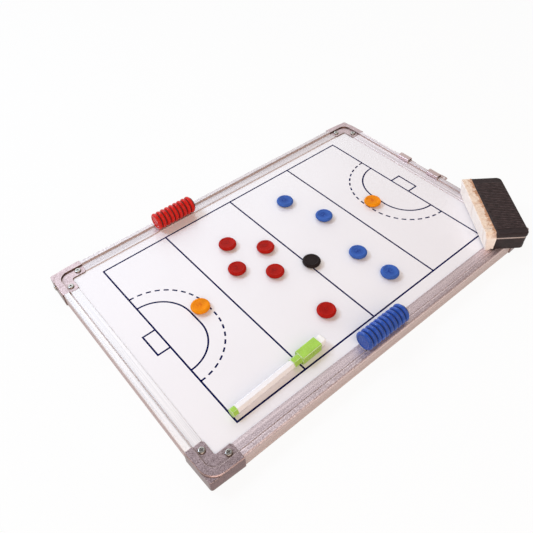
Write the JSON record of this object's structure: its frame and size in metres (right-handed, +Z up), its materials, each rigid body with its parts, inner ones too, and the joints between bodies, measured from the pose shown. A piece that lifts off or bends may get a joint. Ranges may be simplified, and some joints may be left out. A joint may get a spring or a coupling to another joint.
{
  "type": "magnetic tactics board",
  "caption": "Framed white magnetic tactics board with moulded corners, round magnetic counters laid out and stacked, a capped marker, a felt eraser and sliding hanging clips.",
  "frame": {"origin": "middle of the whole set's box, on the table plane under the frame", "axes": "+X along the board's long side towards the hanging clips, +Y to the far long rail, +Z up out of the writing face"},
  "size_m": [0.4717, 0.3044, 0.0377],
  "materials": {
    "white_sheet": "gloss white coated steel",
    "core": "raw fibreboard",
    "back": "grey coated sheet",
    "rail": "satin anodised",
    "corner": "fine grained grey",
    "screw": "nickel plated",
    "clip": "bright spring steel",
    "red_cap": "gloss moulded",
    "blue_cap": "gloss moulded",
    "orange_cap": "gloss moulded",
    "black_cap": "gloss moulded",
    "ferrite": "bare ferrite",
    "marker_green": "gloss moulded",
    "marker_white": "gloss moulded",
    "fibre": "inked fibre",
    "cap_felt": "pale felt",
    "eraser_black": "ribbed black",
    "eraser_seam": "grey sheet",
    "eraser_felt": "cream felt"
  },
  "bodies": {
    "board": {"writing_sheet": "white_sheet", "core_board": "core", "back_sheet": "back", "rail_near": "rail", "rail_right": "rail", "rail_far": "rail", "rail_left": "rail", "corner_near_left": "corner", "corner_near_right": "corner", "corner_far_right": "corner", "corner_far_left": "corner", "corner_screws": "screw", "side_screws": "screw"},
    "hanging_clip_1": {"hanger_clip_1": "clip"},
    "hanging_clip_2": {"hanger_clip_2": "clip"},
    "red_counter_1": {"red_counter_1_cap": "red_cap", "red_counter_1_magnet": "ferrite"},
    "red_counter_2": {"red_counter_2_cap": "red_cap", "red_counter_2_magnet": "ferrite"},
    "red_counter_3": {"red_counter_3_cap": "red_cap", "red_counter_3_magnet": "ferrite"},
    "red_counter_4": {"red_counter_4_cap": "red_cap", "red_counter_4_magnet": "ferrite"},
    "red_counter_5": {"red_counter_5_cap": "red_cap", "red_counter_5_magnet": "ferrite"},
    "blue_counter_1": {"blue_counter_1_cap": "blue_cap", "blue_counter_1_magnet": "ferrite"},
    "blue_counter_2": {"blue_counter_2_cap": "blue_cap", "blue_counter_2_magnet": "ferrite"},
    "blue_counter_3": {"blue_counter_3_cap": "blue_cap", "blue_counter_3_magnet": "ferrite"},
    "blue_counter_4": {"blue_counter_4_cap": "blue_cap", "blue_counter_4_magnet": "ferrite"},
    "orange_counter_1": {"orange_counter_1_cap": "orange_cap", "orange_counter_1_magnet": "ferrite"},
    "orange_counter_2": {"orange_counter_2_cap": "orange_cap", "orange_counter_2_magnet": "ferrite"},
    "black_counter_1": {"black_counter_1_cap": "black_cap", "black_counter_1_magnet": "ferrite"},
    "red_stack": {"red_stack_caps": "red_cap", "red_stack_magnets": "ferrite"},
    "blue_stack": {"blue_stack_caps": "blue_cap", "blue_stack_magnets": "ferrite"},
    "marker": {"marker_plug": "marker_green", "marker_barrel": "marker_white", "marker_reservoir": "fibre", "marker_nib_holder": "marker_white", "marker_nib": "fibre"},
    "marker_cap": {"marker_cap": "marker_green", "marker_cap_magnet": "ferrite", "marker_cap_felt": "cap_felt"},
    "eraser": {"eraser_base": "eraser_black", "eraser_plate": "eraser_seam", "eraser_cover": "eraser_black", "eraser_felt": "eraser_felt"}
  },
  "joints": [
    {"name": "clip_1_slide", "type": "slide", "parent": "board", "child": "hanging_clip_1", "axis": [0, 1, 0], "range_m": [-0.0097, 0.0663]},
    {"name": "clip_2_slide", "type": "slide", "parent": "board", "child": "hanging_clip_2", "axis": [0, 1, 0], "range_m": [-0.0213, 0.0087]},
    {"name": "red_counter_1_slide", "type": "slide", "parent": "board", "child": "red_counter_1", "axis": [1, 0, 0], "range_m": [-0.14, 0.05]},
    {"name": "red_counter_2_slide", "type": "slide", "parent": "board", "child": "red_counter_2", "axis": [1, 0, 0], "range_m": [-0.0009, 0.0411]},
    {"name": "red_counter_3_slide", "type": "slide", "parent": "board", "child": "red_counter_3", "axis": [1, 0, 0], "range_m": [-0.0353, 0.0207]},
    {"name": "red_counter_4_slide", "type": "slide", "parent": "board", "child": "red_counter_4", "axis": [1, 0, 0], "range_m": [-0.0645, 0.0145]},
    {"name": "red_counter_5_slide", "type": "slide", "parent": "board", "child": "red_counter_5", "axis": [1, 0, 0], "range_m": [-0.1577, 0.0323]},
    {"name": "blue_counter_1_slide", "type": "slide", "parent": "board", "child": "blue_counter_1", "axis": [1, 0, 0], "range_m": [-0.0241, 0.1439]},
    {"name": "blue_counter_2_slide", "type": "slide", "parent": "board", "child": "blue_counter_2", "axis": [1, 0, 0], "range_m": [-0.0214, 0.0396]},
    {"name": "blue_counter_3_slide", "type": "slide", "parent": "board", "child": "blue_counter_3", "axis": [1, 0, 0], "range_m": [-0.2397, 0.1403]},
    {"name": "blue_counter_4_slide", "type": "slide", "parent": "board", "child": "blue_counter_4", "axis": [1, 0, 0], "range_m": [-0.0315, 0.1065]},
    {"name": "orange_counter_1_slide", "type": "slide", "parent": "board", "child": "orange_counter_1", "axis": [0, 1, 0], "range_m": [-0.0297, 0.0193]},
    {"name": "orange_counter_2_slide", "type": "slide", "parent": "board", "child": "orange_counter_2", "axis": [0, 1, 0], "range_m": [-0.0261, 0.0229]},
    {"name": "black_counter_1_slide", "type": "slide", "parent": "board", "child": "black_counter_1", "axis": [1, 0, 0], "range_m": [-0.0025, 0.1005]},
    {"name": "red_stack_lift", "type": "slide", "parent": "board", "child": "red_stack", "axis": [0, 0, 1], "range_m": [0, 0.08]},
    {"name": "blue_stack_lift", "type": "slide", "parent": "board", "child": "blue_stack", "axis": [0, 0, 1], "range_m": [0, 0.08]},
    {"name": "marker_lift", "type": "slide", "parent": "board", "child": "marker", "axis": [0, 0, 1], "range_m": [0, 0.12]},
    {"name": "marker_cap_pull", "type": "slide", "parent": "marker", "child": "marker_cap", "axis": [0.9991, 0.0419, 0], "range_m": [0, 0.03]},
    {"name": "eraser_lift", "type": "slide", "parent": "board", "child": "eraser", "axis": [0, 0, 1], "range_m": [0, 0.12]}
  ]
}
